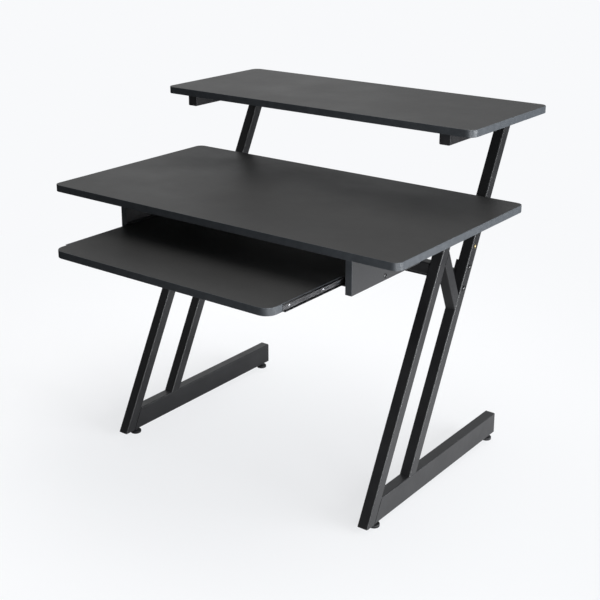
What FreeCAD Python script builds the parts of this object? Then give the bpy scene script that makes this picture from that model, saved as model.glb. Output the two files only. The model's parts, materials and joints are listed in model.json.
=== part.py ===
import FreeCAD, Part
import math
import os
import Sketcher

# Computer desk with a pull-out keyboard tray and a raised shelf, in millimetres.
# Origin: on the floor, midway between the two side frames and midway between the front edge
# of the drawn-out tray and the rear edge of the shelf.
# X runs along the width, -Y is the side where the user sits, +Z is up.
# Lengths along Y are counted from the middle of the desktop; place() moves them to the origin.

V = FreeCAD.Vector
doc = FreeCAD.newDocument("computer_desk")

# ---------------------------------------------------------------- dimensions

DIMS = [
    ("origin_behind", 13, "origin behind the desktop's middle"),
    ("desk_width", 1100, "desktop, left to right"),
    ("desk_depth", 590, "desktop, front to back"),
    ("desk_top", 750, "height of the writing surface"),
    ("desk_corner", 20, "radius of the desktop's corners"),
    ("shelf_width", 1000, "raised shelf, left to right"),
    ("shelf_depth", 405, "raised shelf, front to back"),
    ("shelf_front", 104, "front edge of the shelf, behind the desktop's middle"),
    ("shelf_top", 965, "height of the shelf's surface"),
    ("shelf_corner", 22, "radius of the shelf's corners"),
    ("tray_width", 688, "keyboard tray, left to right"),
    ("tray_depth", 400, "keyboard tray, front to back"),
    ("tray_front", 483, "front edge of the tray as drawn out, ahead of the desktop's middle"),
    ("tray_middle", 645, "height of the middle of the tray board"),
    ("tray_corner", 30, "radius of the tray's front corners"),
    ("tray_corner_rear", 5, "radius of the tray's rear corners"),
    ("board_thick", 19, "thickness of all three boards"),
    ("band_thick", 1, "thickness of the plastic edge band"),
    ("band_bevel", 0.6, "bevel along the band's outer edges"),
    ("panel_outer", 375, "outer face of a tray side panel, from the middle"),
    ("panel_thick", 18, "thickness of a tray side panel"),
    ("panel_front", 216, "front edge of a side panel, ahead of the desktop's middle"),
    ("panel_depth", 300, "side panel, front to back"),
    ("panel_height", 118, "side panel below the desktop"),
    ("panel_bolt", 7, "bolts through a side panel"),
    ("panel_bolt_low", 11, "those bolts above the panel's lower edge"),
    ("panel_bolt_first", 141, "first bolt behind the panel's front"),
    ("panel_bolt_second", 261, "second bolt behind the panel's front"),
    ("frame_half", 429, "outer face of a side frame, from the middle"),
    ("tube_side", 30, "side of the square frame tube"),
    ("tube_wall", 1.5, "wall of the frame tubes"),
    ("tube_round", 3, "outer corner radius of the frame tubes"),
    ("lean", 27, "lean of the legs from the vertical, degrees"),
    ("brace_lean", 22.9, "lean of the brace from the vertical, degrees"),
    ("base_bottom", 17, "underside of a base tube above the floor"),
    ("base_height", 60, "height of a base tube"),
    ("base_rear", 434, "rear end of a base tube with its cap"),
    ("cap_thick", 2.5, "plate of a plastic end cap"),
    ("cap_plug", 10, "part of an end cap inside the tube"),
    ("toe_front", 214, "front face of the front leg at its lower end, ahead of the desktop's middle"),
    ("heel_front", 23.2, "front face of the rear leg on the base tube, ahead of the desktop's middle"),
    ("rail_front", 190, "front end of a desktop rail, ahead of the desktop's middle"),
    ("rail_rear", 287, "rear end of a desktop rail"),
    ("brace_foot", 488.8, "height where the brace's axis meets the rear leg"),
    ("joint_height", 588, "height of the joint between rear leg and riser"),
    ("arm_front", 118, "front end of a shelf arm with its cap"),
    ("spigot_down", 100, "length of the riser's spigot inside the leg"),
    ("spigot_up", 28, "length of the spigot inside the riser"),
    ("spigot_wall", 2, "wall of the spigot"),
    ("bolt_pitch", 57, "spacing of the holes along the leg"),
    ("bolt_first", 21, "first bolt below the joint"),
    ("bolt_shank", 8, "riser bolt diameter"),
    ("bolt_head", 14, "riser bolt head diameter"),
    ("bolt_head_high", 4, "riser bolt head height"),
    ("plate_thick", 5, "end plate of the rear crossbar"),
    ("plate_length", 82, "end plate along the leg"),
    ("front_bar_face", 86, "front face of the front crossbar"),
    ("front_bar_bottom", 587.5, "underside of the front crossbar"),
    ("rear_bar_bottom", 529, "underside of the rear crossbar"),
    ("foot_inset", 18.5, "foot centre from the end of the base tube"),
    ("pad_diameter", 30, "levelling foot pad"),
    ("pad_high", 8, "height of the pad"),
    ("pad_bevel", 2, "bevel round the top of a pad"),
    ("stem_diameter", 8, "threaded stem of a foot"),
    ("stem_top", 37, "upper end of the stem"),
    ("nut_bore", 8.1, "bore of the threaded insert for a foot"),
    ("nut_body", 11, "body of that insert"),
    ("nut_flange", 15, "flange of that insert"),
    ("nut_flange_high", 1, "thickness of that flange"),
    ("nut_deep", 13, "insert inside the base tube"),
    ("brass_bore", 6, "bore of the brass insert"),
    ("brass_body", 8, "body of the brass insert"),
    ("brass_flange", 10, "flange of the brass insert"),
    ("brass_flange_high", 0.8, "thickness of that flange"),
    ("brass_deep", 10, "brass insert behind the tube's face"),
    ("slide_space", 13, "gap between side panel and tray"),
    ("cabinet_short", 2.5, "gap between the cabinet member's flanges and the tray"),
    ("drawer_flange", 5.2, "edge of the drawer member's flanges from the side panel"),
    ("cage_web", 4, "ball retainer's web from the side panel"),
    ("cage_edge", 10.4, "edge of its flanges from the side panel"),
    ("ball_depth", 8, "middle of the balls from the side panel"),
    ("stop_hole_ahead", 301, "spare hole in the drawer member, ahead of the desktop's middle"),
    ("slide_sheet", 1, "sheet steel of the slides"),
    ("slide_length", 350, "cabinet member of a slide"),
    ("slide_front", 215, "front end of the cabinet member, ahead of the desktop's middle"),
    ("slide_out", 222, "how far the tray is drawn out"),
    ("runner_length", 342, "drawer member of a slide"),
    ("runner_set_back", 2, "front of the closed runner behind the cabinet member's front"),
    ("runner_half", 8.4, "half the height of the drawer member"),
    ("race_gap", 2.7, "space for the balls between two members"),
    ("ball_diameter", 2.6, "slide ball"),
    ("cage_length", 92, "ball retainer"),
    ("cage_sheet", 0.6, "sheet of a ball retainer"),
    ("cage_middle", 154, "middle of the ball retainer, ahead of the desktop's middle"),
    ("ball_pitch", 11.5, "spacing of the balls"),
    ("hole_gap", 0.05, "space round a ball in its retainer"),
    ("bumper_long", 5, "rubber stop at the back of a slide"),
    ("bumper_inset", 0.5, "gap between that stop and the cabinet member's rear end"),
    ("wood_screw", 5, "shank of the screws in desktop and shelf"),
    ("wood_screw_bite", 13, "their length inside a board"),
    ("wood_screw_head", 10, "their head"),
    ("wood_screw_head_high", 3, "height of that head"),
    ("small_screw", 3.5, "shank of the slide screws"),
    ("small_screw_bite", 14, "their length inside a board"),
    ("small_screw_head", 7, "their head"),
    ("tray_screw_head_high", 1.2, "height of the heads of the screws in the tray's ends"),
    ("dowel", 8, "wooden dowel"),
    ("dowel_up", 12, "dowel inside the desktop"),
    ("dowel_down", 18, "dowel inside the side panel"),
    ("panel_bolt_head", 12, "head of a panel bolt"),
    ("panel_bolt_head_high", 2, "height of that head"),
    ("hex_wide", 5, "hexagon socket across corners"),
    ("hex_deep", 2.5, "depth of the hexagon socket"),
]

sheet = doc.addObject("Spreadsheet::Sheet", "Dims")
for row, (alias, amount, note) in enumerate(DIMS, start=1):
    sheet.set("A%d" % row, alias)
    sheet.set("B%d" % row, str(amount))
    sheet.set("C%d" % row, note)
    sheet.setAlias("B%d" % row, alias)
doc.recompute()


class Size:
    """A number that remembers the spreadsheet expression it comes from."""

    def __init__(self, number, text):
        self.number = float(number)
        self.text = text

    def join(self, other, sign, number):
        return Size(number, "(%s %s %s)" % (self.text, sign, as_size(other).text))

    def __add__(self, other):
        return self.join(other, "+", self.number + as_size(other).number)

    def __sub__(self, other):
        return self.join(other, "-", self.number - as_size(other).number)

    def __mul__(self, other):
        return self.join(other, "*", self.number * as_size(other).number)

    def __truediv__(self, other):
        return self.join(other, "/", self.number / as_size(other).number)

    def __radd__(self, other):
        return as_size(other) + self

    def __rsub__(self, other):
        return as_size(other) - self

    def __rmul__(self, other):
        return as_size(other) * self

    def __neg__(self):
        return Size(-self.number, "(0 - %s)" % self.text)


def as_size(thing):
    return thing if isinstance(thing, Size) else Size(thing, repr(float(thing)))


def cosine(angle):
    return Size(math.cos(math.radians(angle.number)), "cos(%s)" % angle.text)


def sine(angle):
    return Size(math.sin(math.radians(angle.number)), "sin(%s)" % angle.text)


def tangent(angle):
    return Size(math.tan(math.radians(angle.number)), "tan(%s)" % angle.text)


class Sheet:
    """D.desk_width is the Size of the cell named desk_width."""


D = Sheet()
for alias, amount, note in DIMS:
    setattr(D, alias, Size(amount, "Dims." + alias))

ZERO = as_size(0)
made = []

# ---------------------------------------------------------------- building helpers


def bind(thing, path, size):
    thing.setExpression(path, as_size(size).text)


def place(thing, x, y, z, axis=None, angle=None):
    """Puts an object at x, y, z, with y from the desktop's middle, turned about axis."""
    if axis is not None:
        thing.Placement = FreeCAD.Placement(V(0, 0, 0), FreeCAD.Rotation(axis, 1))
        bind(thing, "Placement.Rotation.Angle", angle)
    for letter, size in (("x", x), ("y", y - D.origin_behind), ("z", z)):
        bind(thing, "Placement.Base." + letter, size)


def new_body(label):
    body = doc.addObject("PartDesign::Body", label)
    body.Label = label
    made.append(body)
    return body


def sketch_on(body, role, offset=None):
    """A sketch on one of the body's own planes, moved along its normal by offset."""
    sketch = body.newObject("Sketcher::SketchObject", body.Label + "_sketch")
    plane = next(f for f in body.Origin.OriginFeatures if f.Role == role)
    sketch.AttachmentSupport = (plane, [""])
    sketch.MapMode = "FlatFace"
    if offset is not None:
        bind(sketch, "AttachmentOffset.Base.z", offset)
    return sketch


def pin(sketch, shape, point, x, y):
    """Fixes a point of a shape at x, y, both bound to the spreadsheet."""
    for kind, axis, size in (("DistanceX", -2, as_size(x)), ("DistanceY", -1, as_size(y))):
        if abs(size.number) < 1e-9:
            sketch.addConstraint(Sketcher.Constraint("PointOnObject", shape, point, axis))
            continue
        ends = (-1, 1, shape, point) if size.number > 0 else (shape, point, -1, 1)
        far = size if size.number > 0 else -size
        index = sketch.addConstraint(Sketcher.Constraint(kind, *ends, far.number))
        bind(sketch, "Constraints[%d]" % index, far)


def outline(sketch, corners):
    """A closed outline of straight lines through the corners."""
    points = [V(as_size(x).number, as_size(y).number, 0) for x, y in corners]
    first = sketch.GeometryCount
    for a, b in zip(points, points[1:] + points[:1]):
        sketch.addGeometry(Part.LineSegment(a, b))
    for k in range(len(points)):
        after = first + (k + 1) % len(points)
        sketch.addConstraint(Sketcher.Constraint("Coincident", first + k, 2, after, 1))
    for k, (x, y) in enumerate(corners):
        pin(sketch, first + k, 1, x, y)


def rectangle(sketch, half_x, half_y):
    outline(sketch, [(-half_x, -half_y), (half_x, -half_y), (half_x, half_y), (-half_x, half_y)])


def hole(sketch, x, y, diameter):
    centre = V(as_size(x).number, as_size(y).number, 0)
    circle = sketch.addGeometry(Part.Circle(centre, V(0, 0, 1), as_size(diameter).number / 2))
    pin(sketch, circle, 3, x, y)
    index = sketch.addConstraint(
        Sketcher.Constraint("Diameter", circle, as_size(diameter).number))
    bind(sketch, "Constraints[%d]" % index, diameter)


def pad(body, sketch, length, middle=False):
    feature = body.newObject("PartDesign::Pad", body.Label + "_pad")
    feature.Profile = sketch
    bind(feature, "Length", length)
    if middle:
        feature.SideType = "Symmetric"
    sketch.Visibility = False
    body.Tip = feature
    doc.recompute()
    return feature


def cut_one_way(body, sketch, reverse, depth=None):
    """Removes a sketched shape from the sketch's plane, to a depth or right through."""
    feature = body.newObject("PartDesign::Pocket", body.Label + "_cut")
    feature.Profile = sketch
    if depth is None:
        feature.Type = "ThroughAll"
    else:
        bind(feature, "Length", depth)
    feature.Reversed = reverse
    sketch.Visibility = False
    body.Tip = feature
    doc.recompute()
    return feature


def cut_through(body, sketch):
    """Removes a sketched shape from the whole body, both ways from the sketch's plane."""
    feature = body.newObject("PartDesign::Pocket", body.Label + "_cut")
    feature.Profile = sketch
    feature.Type = "ThroughAll"
    feature.SideType = "Symmetric"
    sketch.Visibility = False
    body.Tip = feature
    doc.recompute()
    return feature


def round_edges(body, wanted, radius):
    """Rounds the edges of the body's last feature that the test picks."""
    last = body.Tip
    names = ["Edge%d" % (k + 1) for k, e in enumerate(last.Shape.Edges) if wanted(e)]
    feature = body.newObject("PartDesign::Fillet", body.Label + "_round")
    feature.Base = (last, names)
    bind(feature, "Radius", radius)
    body.Tip = feature
    doc.recompute()
    return feature


def bevel_edges(body, wanted, size):
    """Bevels the edges of the body's last feature that the test picks."""
    last = body.Tip
    names = ["Edge%d" % (k + 1) for k, e in enumerate(last.Shape.Edges) if wanted(e)]
    feature = body.newObject("PartDesign::Chamfer", body.Label + "_bevel")
    feature.Base = (last, names)
    bind(feature, "Size", size)
    body.Tip = feature
    doc.recompute()
    return feature


def runs_along(edge, axis):
    a, b = edge.Vertexes[0].Point, edge.Vertexes[-1].Point
    way = b - a
    return way.Length > 1e-6 and abs(abs(way.normalize().dot(axis)) - 1) < 1e-6


def middle_of(edge):
    return edge.valueAt((edge.FirstParameter + edge.LastParameter) / 2)


# ---------------------------------------------------------------- boards

def corner_edges(half_x, half_y, front=None):
    """Upright edges at the corners of a rectangle; front True or False picks one end."""
    def wanted(edge):
        p = middle_of(edge)
        at = abs(abs(p.x) - half_x) < 0.01 and abs(abs(p.y) - half_y) < 0.01
        side = front is None or (p.y < 0) == front
        return runs_along(edge, V(0, 0, 1)) and at and side
    return wanted


def rim_edges(thick, half_x, half_y, corners):
    """Outer top and bottom edges of a band; corners are its front and rear radius."""
    def wanted(edge):
        p = middle_of(edge)
        level = abs(p.z) < 0.01 or abs(p.z - thick) < 0.01
        x, y = abs(p.x), abs(p.y)
        straight = abs(x - half_x) < 0.01 or abs(y - half_y) < 0.01
        corner = corners[0] if p.y < 0 else corners[1]
        dx, dy = x - (half_x - corner), y - (half_y - corner)
        curved = dx > 0 and dy > 0 and abs(math.hypot(dx, dy) - corner) < 0.01
        return level and not runs_along(edge, V(0, 0, 1)) and (straight or curved)
    return wanted


def board(name, width, depth, corner, x, y, z, rear_corner=None):
    """A particle board and the plastic band round its edges."""
    half_x, half_y = width / 2, depth / 2
    inner_x, inner_y = half_x - D.band_thick, half_y - D.band_thick
    rear = rear_corner or corner

    core = new_body(name + "_board")
    sketch = sketch_on(core, "XY_Plane")
    rectangle(sketch, inner_x, inner_y)
    pad(core, sketch, D.board_thick)
    for radius, front in ((corner, True), (rear, False)):
        round_edges(core, corner_edges(inner_x.number, inner_y.number, front),
                    radius - D.band_thick)
    place(core, x, y, z)

    band = new_body(name + "_edge_band")
    sketch = sketch_on(band, "XY_Plane")
    rectangle(sketch, half_x, half_y)
    rectangle(sketch, inner_x, inner_y)
    pad(band, sketch, D.board_thick)
    for radius, front in ((corner, True), (rear, False)):
        round_edges(band, corner_edges(half_x.number, half_y.number, front), radius)
        round_edges(band, corner_edges(inner_x.number, inner_y.number, front),
                    radius - D.band_thick)
    bevel_edges(band, rim_edges(D.board_thick.number, half_x.number, half_y.number,
                                (corner.number, rear.number)), D.band_bevel)
    place(band, x, y, z)
    return core, band


desk_under = D.desk_top - D.board_thick
shelf_under = D.shelf_top - D.board_thick
tray_under = D.tray_middle - D.board_thick / 2

shelf_y = D.shelf_front + D.shelf_depth / 2
tray_y = D.tray_depth / 2 - D.tray_front

desktop, _ = board("desktop", D.desk_width, D.desk_depth, D.desk_corner,
                   ZERO, ZERO, desk_under)
shelf, _ = board("shelf", D.shelf_width, D.shelf_depth, D.shelf_corner,
                 ZERO, shelf_y, shelf_under)
tray, tray_band = board("tray", D.tray_width, D.tray_depth, D.tray_corner,
                        ZERO, tray_y, tray_under, D.tray_corner_rear)

# ---------------------------------------------------------------- side panels of the tray

panel_inner = D.panel_outer - D.panel_thick
panel_under = desk_under - D.panel_height
panel_middle = D.panel_outer - D.panel_thick / 2
panel_y = (D.panel_depth + D.band_thick) / 2 - D.panel_front
panel_bolt_ys = (D.panel_bolt_first - D.panel_front, D.panel_bolt_second - D.panel_front)
dowel_ys = [as_size(y) for y in (-190, -66, 58)]
slide_screw_ys = [as_size(y) for y in (-180, -66, 48)]
SIDES = (("left", -1), ("right", 1))


def side_panel(side, way):
    """A panel that hangs from the desktop and carries a slide on its inner face."""
    panel = new_body("tray_side_panel_" + side)
    sketch = sketch_on(panel, "XY_Plane")
    rectangle(sketch, D.panel_thick / 2, (D.panel_depth - D.band_thick) / 2)
    pad(panel, sketch, D.panel_height)
    drill = sketch_on(panel, "YZ_Plane")
    for y in panel_bolt_ys:
        hole(drill, y - panel_y, D.panel_bolt_low, D.panel_bolt)
    cut_through(panel, drill)
    drill = sketch_on(panel, "XY_Plane", D.panel_height)
    for y in dowel_ys:
        hole(drill, ZERO, y - panel_y, D.dowel)
    cut_one_way(panel, drill, False, D.dowel_down)
    # pilot holes for the slide's screws, from the inner face
    drill = sketch_on(panel, "YZ_Plane", -way * D.panel_thick / 2)
    for y in slide_screw_ys:
        hole(drill, y - panel_y, D.tray_middle - panel_under, D.small_screw)
    cut_one_way(panel, drill, way > 0, D.small_screw_bite)
    place(panel, way * panel_middle, panel_y, panel_under)

    band = new_body("panel_edge_band_" + side)
    sketch = sketch_on(band, "XY_Plane")
    rectangle(sketch, D.panel_thick / 2, D.band_thick / 2)
    pad(band, sketch, D.panel_height)
    place(band, way * panel_middle, D.band_thick / 2 - D.panel_front, panel_under)


for side, way in SIDES:
    side_panel(side, way)

# ---------------------------------------------------------------- frame tubes

lean = D.lean
half_tube = D.tube_side / 2
tube_x = D.frame_half - half_tube
# half of a leaning tube's depth measured level
level_half = half_tube / cosine(lean)


def tube(name, wide, high, length, start=ZERO, wall=D.tube_wall, corner=D.tube_round):
    """A square or oblong tube along the body's Z axis, from start to start + length."""
    body = new_body(name)
    sketch = sketch_on(body, "XY_Plane", start)
    rectangle(sketch, wide / 2, high / 2)
    rectangle(sketch, wide / 2 - wall, high / 2 - wall)
    pad(body, sketch, length)
    spans = ((wide / 2, high / 2, corner), (wide / 2 - wall, high / 2 - wall, corner - wall))
    for half_x, half_y, radius in spans:
        if radius.number > 0:
            round_edges(body, corner_edges(half_x.number, half_y.number), radius)
    return body


def slope_end(body, at, slope, half, above):
    """Cuts a tube's end along a plane that crosses its axis at height at.

    slope is the rise of the plane per millimetre of Y; above tells which end goes.
    """
    reach = half * 3
    far = at + reach * 4 if above else at - reach * 4
    sketch = sketch_on(body, "YZ_Plane")
    outline(sketch, [(-reach, at - slope * reach), (reach, at + slope * reach),
                     (reach, far), (-reach, far)])
    cut_through(body, sketch)


def cross_holes(body, heights, diameter):
    """Holes through both side walls at these heights on the axis."""
    sketch = sketch_on(body, "YZ_Plane")
    for at in heights:
        hole(sketch, ZERO, at, diameter)
    cut_through(body, sketch)


base_top = D.base_bottom + D.base_height
rail_under = desk_under - D.tube_side
toe_axis = level_half - D.toe_front
heel_axis = level_half - D.heel_front
rear_leg_length = (D.joint_height - base_top) / cosine(lean)
bolt_second = D.bolt_first + D.bolt_pitch
insert_up = D.bolt_pitch - D.bolt_first
X_AXIS = V(1, 0, 0)


def on_rear_leg(height):
    """Y of the rear leg's axis at this height above the floor."""
    return heel_axis + (height - base_top) * tangent(lean)


def lean_back(body, x, y, z, angle=None):
    place(body, x, y, z, X_AXIS, -(angle or lean))


def side_frame(side, way):
    x = way * tube_x

    leg = tube("front_leg_" + side, D.tube_side, D.tube_side,
               (rail_under - D.base_bottom) / cosine(lean) + D.tube_side * 2, -D.tube_side)
    slope_end(leg, ZERO, tangent(lean), half_tube, False)
    slope_end(leg, (rail_under - D.base_bottom) / cosine(lean), tangent(lean), half_tube, True)
    lean_back(leg, x, toe_axis, D.base_bottom)

    leg = tube("rear_leg_" + side, D.tube_side, D.tube_side,
               rear_leg_length + D.tube_side, -D.tube_side)
    slope_end(leg, ZERO, tangent(lean), half_tube, False)
    cross_holes(leg, (rear_leg_length - D.bolt_first, rear_leg_length - bolt_second),
                D.bolt_shank)
    lean_back(leg, x, heel_axis, base_top)

    # the base tube starts on the front leg's rear face, so its front end leans with the leg
    start = level_half * 2 - D.toe_front
    rear = D.base_rear - D.cap_thick
    base = tube("base_tube_" + side, D.tube_side, D.base_height, rear - start + D.tube_side,
                -D.tube_side)
    sketch = sketch_on(base, "YZ_Plane")
    half = D.base_height / 2
    rise = tangent(lean) * D.base_height
    outline(sketch, [(half, ZERO), (-half, rise), (-half, -D.tube_side * 2),
                     (half, -D.tube_side * 2)])
    cut_through(base, sketch)
    sketch = sketch_on(base, "XZ_Plane")
    for along in (D.foot_inset, rear - start + D.cap_thick - D.foot_inset):
        hole(sketch, ZERO, along, D.nut_body)
    cut_one_way(base, sketch, False)
    # the tube's own Y axis points down and its Z axis to the rear
    place(base, x, start, D.base_bottom + D.base_height / 2, X_AXIS, as_size(-90))

    brace(side, way)


def brace(side, way):
    """The short tube from the front leg down to the rear leg, cut to both legs' faces."""
    body = tube("brace_" + side, D.tube_side, D.tube_side, brace_length + D.tube_side * 4,
                -D.tube_side * 2)
    slope = tangent(as_size(90) - D.lean - D.brace_lean)
    slope_end(body, ZERO, slope, half_tube, False)
    slope_end(body, brace_length, slope, half_tube, True)
    place(body, way * tube_x, brace_foot_y, D.brace_foot, X_AXIS, D.brace_lean)


def level_tube(name, x, z, front, rear, wide=D.tube_side, high=D.tube_side):
    """A level tube from front to rear; its own Z axis points to the rear, its Y axis down."""
    body = tube(name, wide, high, rear - front)
    place(body, x, front, z, X_AXIS, as_size(-90))
    return body


def drill_down(body, xs, bottom, diameter, depth):
    """Blind holes into a board from below, at points in the board's own plane."""
    sketch = sketch_on(body, "XY_Plane")
    for x, y in xs:
        hole(sketch, x, y, diameter)
    cut_one_way(body, sketch, bottom, depth)


# gap between the front leg's rear face and the rear leg's front face, square to both
leg_gap = (D.toe_front - D.heel_front - (base_top - D.base_bottom) * tangent(lean)) * cosine(lean)
leg_gap = leg_gap - D.tube_side
brace_length = leg_gap / sine(D.lean + D.brace_lean)
brace_foot_y = on_rear_leg(D.brace_foot) - level_half

for side, way in SIDES:
    side_frame(side, way)

# rails under the desktop, with the screws that hold it
rail_screw_ys = [as_size(y) for y in (-160, -20, 90, 240)]
for side, way in SIDES:
    rail = level_tube("desk_rail_" + side, way * tube_x, rail_under + half_tube,
                      D.cap_thick - D.rail_front, D.rail_rear - D.cap_thick)
    drill = sketch_on(rail, "XZ_Plane")
    for y in rail_screw_ys:
        hole(drill, ZERO, y + D.rail_front - D.cap_thick, D.wood_screw)
    cut_through(rail, drill)

desk_holes = [(way * tube_x, y) for _, way in SIDES for y in rail_screw_ys]
drill_down(desktop, desk_holes, True, D.wood_screw, D.wood_screw_bite)
desk_dowels = [(way * panel_middle, y) for _, way in SIDES for y in dowel_ys]
drill_down(desktop, desk_dowels, True, D.dowel, D.dowel_up)

# ---------------------------------------------------------------- crossbars


def crossbar(name, half_length, y, z):
    body = tube(name, D.tube_side, D.tube_side, half_length * 2, -half_length)
    place(body, ZERO, y, z, V(0, 1, 0), as_size(90))


crossbar("front_crossbar", D.frame_half - D.tube_side, D.front_bar_face + half_tube,
         D.front_bar_bottom + half_tube)
rear_bar_z = D.rear_bar_bottom + half_tube
crossbar("rear_crossbar", D.frame_half - D.tube_side - D.plate_thick,
         on_rear_leg(rear_bar_z), rear_bar_z)

# ---------------------------------------------------------------- risers and shelf arms

joint_y = on_rear_leg(D.joint_height)
bolt_downs = (D.bolt_first, bolt_second)


def on_leg(along):
    """Y and Z of a point on the rear leg's axis, this far above the joint."""
    return joint_y + along * sine(lean), D.joint_height + along * cosine(lean)


def riser(side, way):
    rise = (shelf_under - D.joint_height) / cosine(lean)
    body = tube("riser_" + side, D.tube_side, D.tube_side, rise + D.tube_side)
    slope_end(body, rise, tangent(lean), half_tube, True)
    drill = sketch_on(body, "YZ_Plane")
    hole(drill, ZERO, insert_up, D.brass_body)
    cut_one_way(body, drill, way > 0)
    lean_back(body, way * tube_x, joint_y, D.joint_height)

    # level arm under the shelf, its rear end cut to the riser's front face
    front = D.arm_front + D.cap_thick
    low = on_rear_leg(shelf_under - D.tube_side) - level_half - front
    high = low + D.tube_side * tangent(lean)
    arm = tube("shelf_arm_" + side, D.tube_side, D.tube_side, high + D.tube_side)
    sketch = sketch_on(arm, "YZ_Plane")
    outline(sketch, [(half_tube, low), (half_tube, high + D.tube_side * 3),
                     (-half_tube, high + D.tube_side * 3), (-half_tube, high)])
    cut_through(arm, sketch)
    drill = sketch_on(arm, "XZ_Plane")
    for y in arm_screw_ys:
        hole(drill, ZERO, y - front, D.wood_screw)
    cut_through(arm, drill)
    place(arm, way * tube_x, front, shelf_under - half_tube, X_AXIS, as_size(-90))


arm_screw_ys = [as_size(y) for y in (165, 270, 375)]
for side, way in SIDES:
    riser(side, way)
arm_holes = [(way * tube_x, y - shelf_y) for _, way in SIDES for y in arm_screw_ys]
drill_down(shelf, arm_holes, True, D.wood_screw, D.wood_screw_bite)

# ---------------------------------------------------------------- grouped small pieces


def group(label, pieces):
    """One named part that holds several separate solids."""
    whole = doc.addObject("Part::Compound", label)
    whole.Label = label
    whole.Links = pieces
    for piece in pieces:
        if piece in made:
            made.remove(piece)
    made.append(whole)
    return whole


def rod(diameter, length, low=ZERO, name="rod"):
    piece = doc.addObject("Part::Cylinder", name)
    bind(piece, "Radius", diameter / 2)
    bind(piece, "Height", length)
    bind(piece, "Placement.Base.z", low)
    return piece


def joined(a, b):
    whole = doc.addObject("Part::Fuse", "joined")
    whole.Base, whole.Tool = a, b
    return whole


def without(a, b):
    rest = doc.addObject("Part::Cut", "without")
    rest.Base, rest.Tool = a, b
    return rest


def socket(low, name="socket"):
    """A hexagon socket whose floor is at height low."""
    piece = doc.addObject("Part::Prism", name)
    piece.Polygon = 6
    bind(piece, "Circumradius", D.hex_wide / 2)
    bind(piece, "Height", D.hex_deep * 2)
    bind(piece, "Placement.Base.z", low)
    return piece


def screw(head, head_high, shank, length, deep=True):
    """A screw along Z: its head above the origin, its shank below."""
    body = joined(rod(head, head_high), rod(shank, length, -length))
    return without(body, socket(head_high - D.hex_deep)) if deep else body


def facing(way):
    """Turn about Y that points a screw's head to the left or right."""
    return V(0, 1, 0), as_size(90 * way)


def level_cap(x, y, z, rear, wide, high):
    """A plastic plug with a plate, closing a level tube's front or rear end."""
    body = new_body("cap")
    sketch = sketch_on(body, "XY_Plane")
    rectangle(sketch, wide / 2, high / 2)
    pad(body, sketch, D.cap_thick)
    sketch = sketch_on(body, "XY_Plane")
    rectangle(sketch, wide / 2 - D.tube_wall, high / 2 - D.tube_wall)
    plug = pad(body, sketch, D.cap_plug)
    plug.Reversed = True
    doc.recompute()
    spans = ((wide / 2, high / 2, D.tube_round),
             (wide / 2 - D.tube_wall, high / 2 - D.tube_wall, D.tube_round - D.tube_wall))
    for half_x, half_y, radius in spans:
        round_edges(body, corner_edges(half_x.number, half_y.number), radius)
    place(body, x, y, z, X_AXIS, as_size(-90 if rear else 90))
    return body


side_ways = [way for _, way in SIDES]
base_middle = D.base_bottom + D.base_height / 2
group("base_tube_caps", [
    level_cap(way * tube_x, D.base_rear - D.cap_thick, base_middle, True,
              D.tube_side, D.base_height) for way in side_ways])


def leg_cap(way):
    """Plastic plug in a front leg's lower end, level with the end of the tube."""
    half = half_tube - D.tube_wall
    body = new_body("cap")
    sketch = sketch_on(body, "XY_Plane", -D.tube_side)
    rectangle(sketch, half, half)
    pad(body, sketch, D.tube_side * 3)
    round_edges(body, corner_edges(half.number, half.number), D.tube_round - D.tube_wall)
    slope_end(body, ZERO, tangent(lean), half_tube, False)
    slope_end(body, D.cap_plug, tangent(lean), half_tube, True)
    lean_back(body, way * tube_x, toe_axis, D.base_bottom)
    return body


group("front_leg_caps", [leg_cap(way) for way in side_ways])
group("shelf_arm_caps", [
    level_cap(way * tube_x, D.arm_front + D.cap_thick, shelf_under - half_tube, False,
              D.tube_side, D.tube_side) for way in side_ways])
group("desk_rail_caps", [
    level_cap(way * tube_x, y, rail_under + half_tube, rear, D.tube_side, D.tube_side)
    for way in side_ways
    for y, rear in ((D.cap_thick - D.rail_front, False), (D.rail_rear - D.cap_thick, True))])


def end_plate(way):
    """Plate welded on the rear crossbar's end and bolted to the rear leg's inner face."""
    body = new_body("plate")
    sketch = sketch_on(body, "XY_Plane", -D.plate_length / 2)
    rectangle(sketch, D.plate_thick / 2, half_tube)
    pad(body, sketch, D.plate_length)
    cross_holes(body, (D.bolt_pitch / 2, -D.bolt_pitch / 2), D.bolt_shank)
    y, z = on_leg(-(D.bolt_first + D.bolt_pitch / 2))
    lean_back(body, way * (D.frame_half - D.tube_side - D.plate_thick / 2), y, z)
    return body


group("rear_crossbar_plates", [end_plate(way) for way in side_ways])


def spigot(way):
    """Inner tube welded in the riser, that slides into the rear leg."""
    side = D.tube_side - D.tube_wall * 2
    body = tube("spigot", side, side, D.spigot_down + D.spigot_up, -D.spigot_down,
                D.spigot_wall, D.tube_round - D.tube_wall)
    cross_holes(body, [-down for down in bolt_downs], D.bolt_shank)
    lean_back(body, way * tube_x, joint_y, D.joint_height)
    return body


group("riser_spigots", [spigot(way) for way in side_ways])


def riser_bolt(way, down):
    piece = screw(D.bolt_head, D.bolt_head_high, D.bolt_shank, D.tube_side + D.plate_thick)
    y, z = on_leg(-down)
    axis, angle = facing(way)
    place(piece, way * D.frame_half, y, z, axis, angle)
    return piece


group("riser_bolts", [riser_bolt(way, down) for way in side_ways for down in bolt_downs])


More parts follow.
